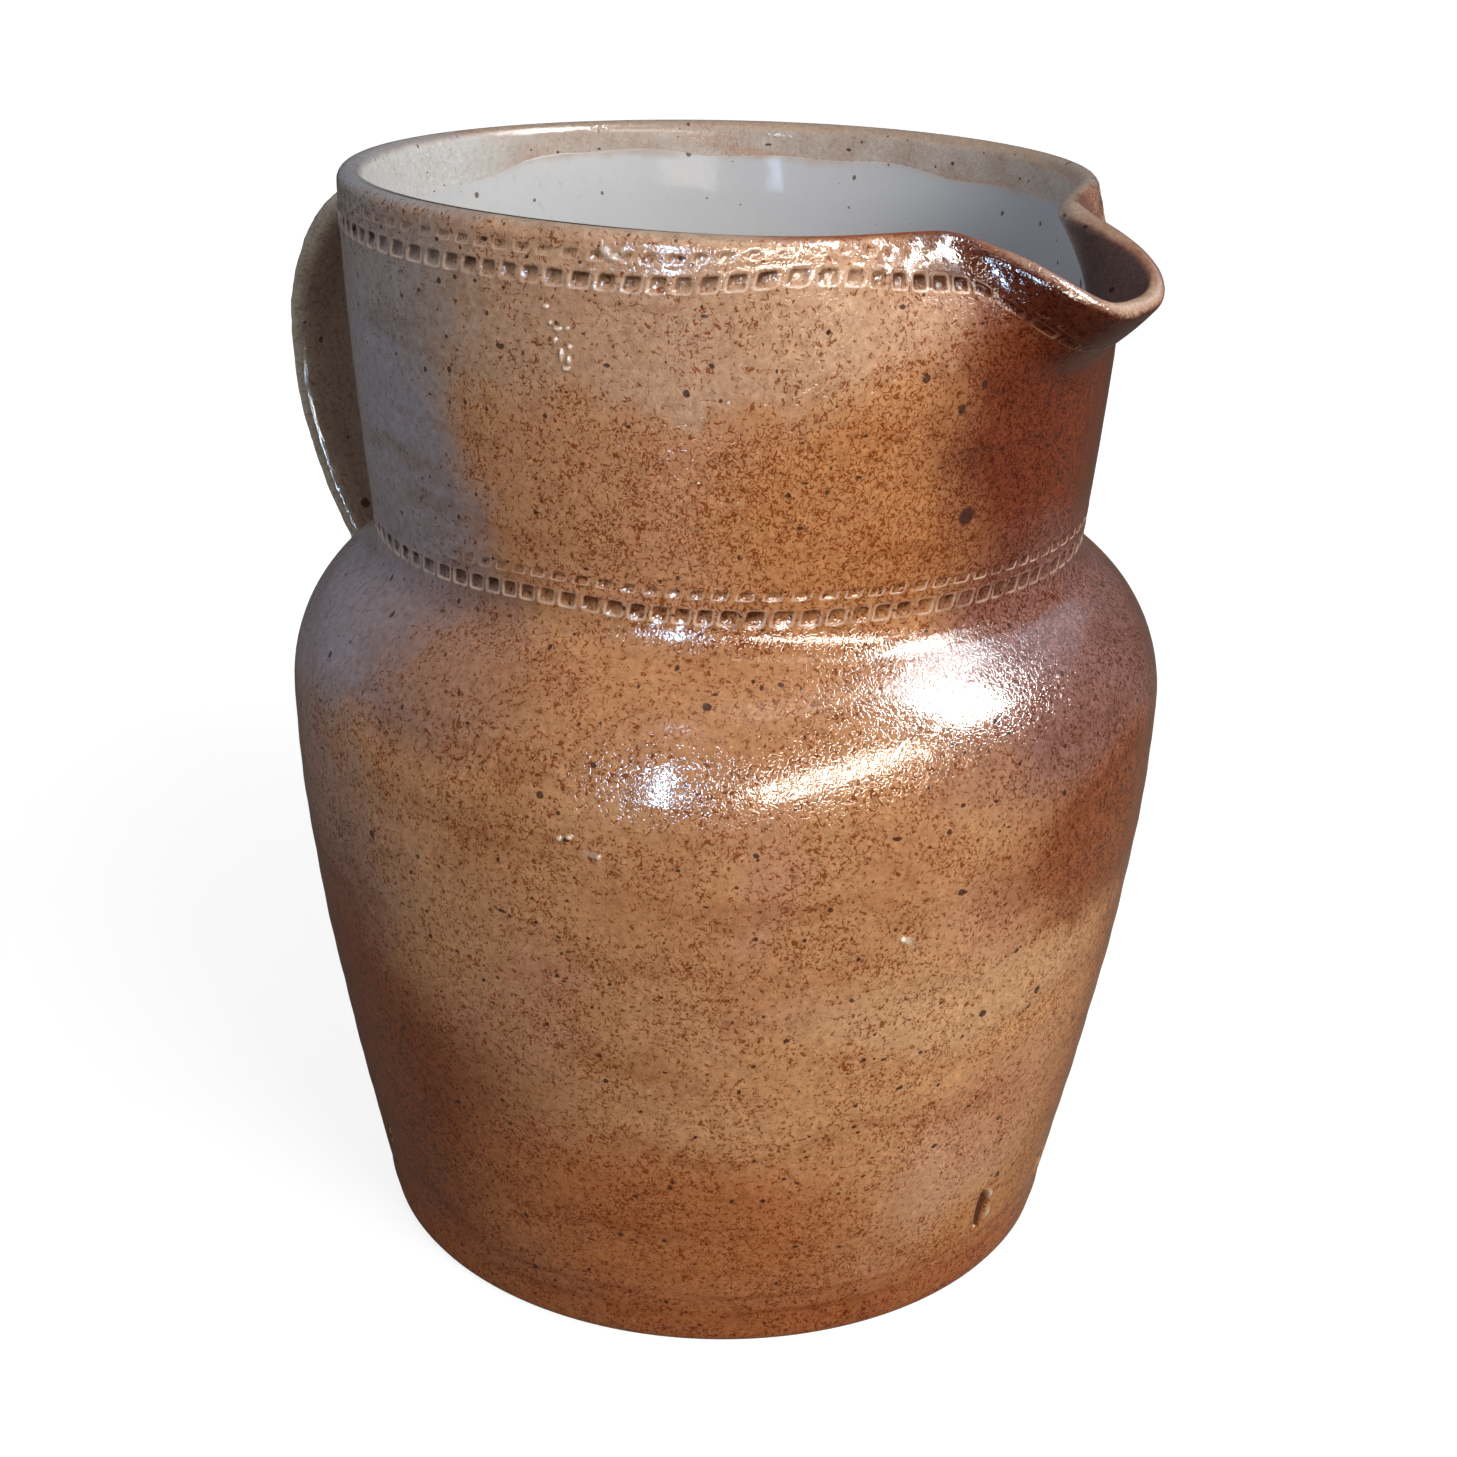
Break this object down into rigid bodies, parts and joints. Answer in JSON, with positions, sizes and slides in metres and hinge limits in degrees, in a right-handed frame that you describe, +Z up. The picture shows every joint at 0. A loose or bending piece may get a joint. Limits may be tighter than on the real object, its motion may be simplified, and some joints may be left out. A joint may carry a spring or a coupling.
{
  "type": "stoneware pitcher",
  "caption": "Wheel-thrown stoneware pitcher with a round belly, broad collar, pulled spout, strap handle and pale glazed inside, for holding and pouring liquids.",
  "frame": {"origin": "centre of the foot on the table, on the axis of the thrown body", "axes": "+Z up along the axis of the body, +X towards the spout, the handle on -X"},
  "size_m": [0.1988, 0.178, 0.22],
  "materials": {
    "salt_glazed_stoneware": "brown salt glaze with an orange-peel surface and iron specks",
    "dark_glazed_handle": "dark grey-brown salt glaze, glossy",
    "pale_liner_glaze": "pale grey-white poured glaze, glossy"
  },
  "bodies": {
    "root": {"thrown_body": "salt_glazed_stoneware", "handle": "dark_glazed_handle", "upper_lute": "dark_glazed_handle", "lower_lute": "dark_glazed_handle", "liner_glaze": "pale_liner_glaze"}
  },
  "joints": []
}
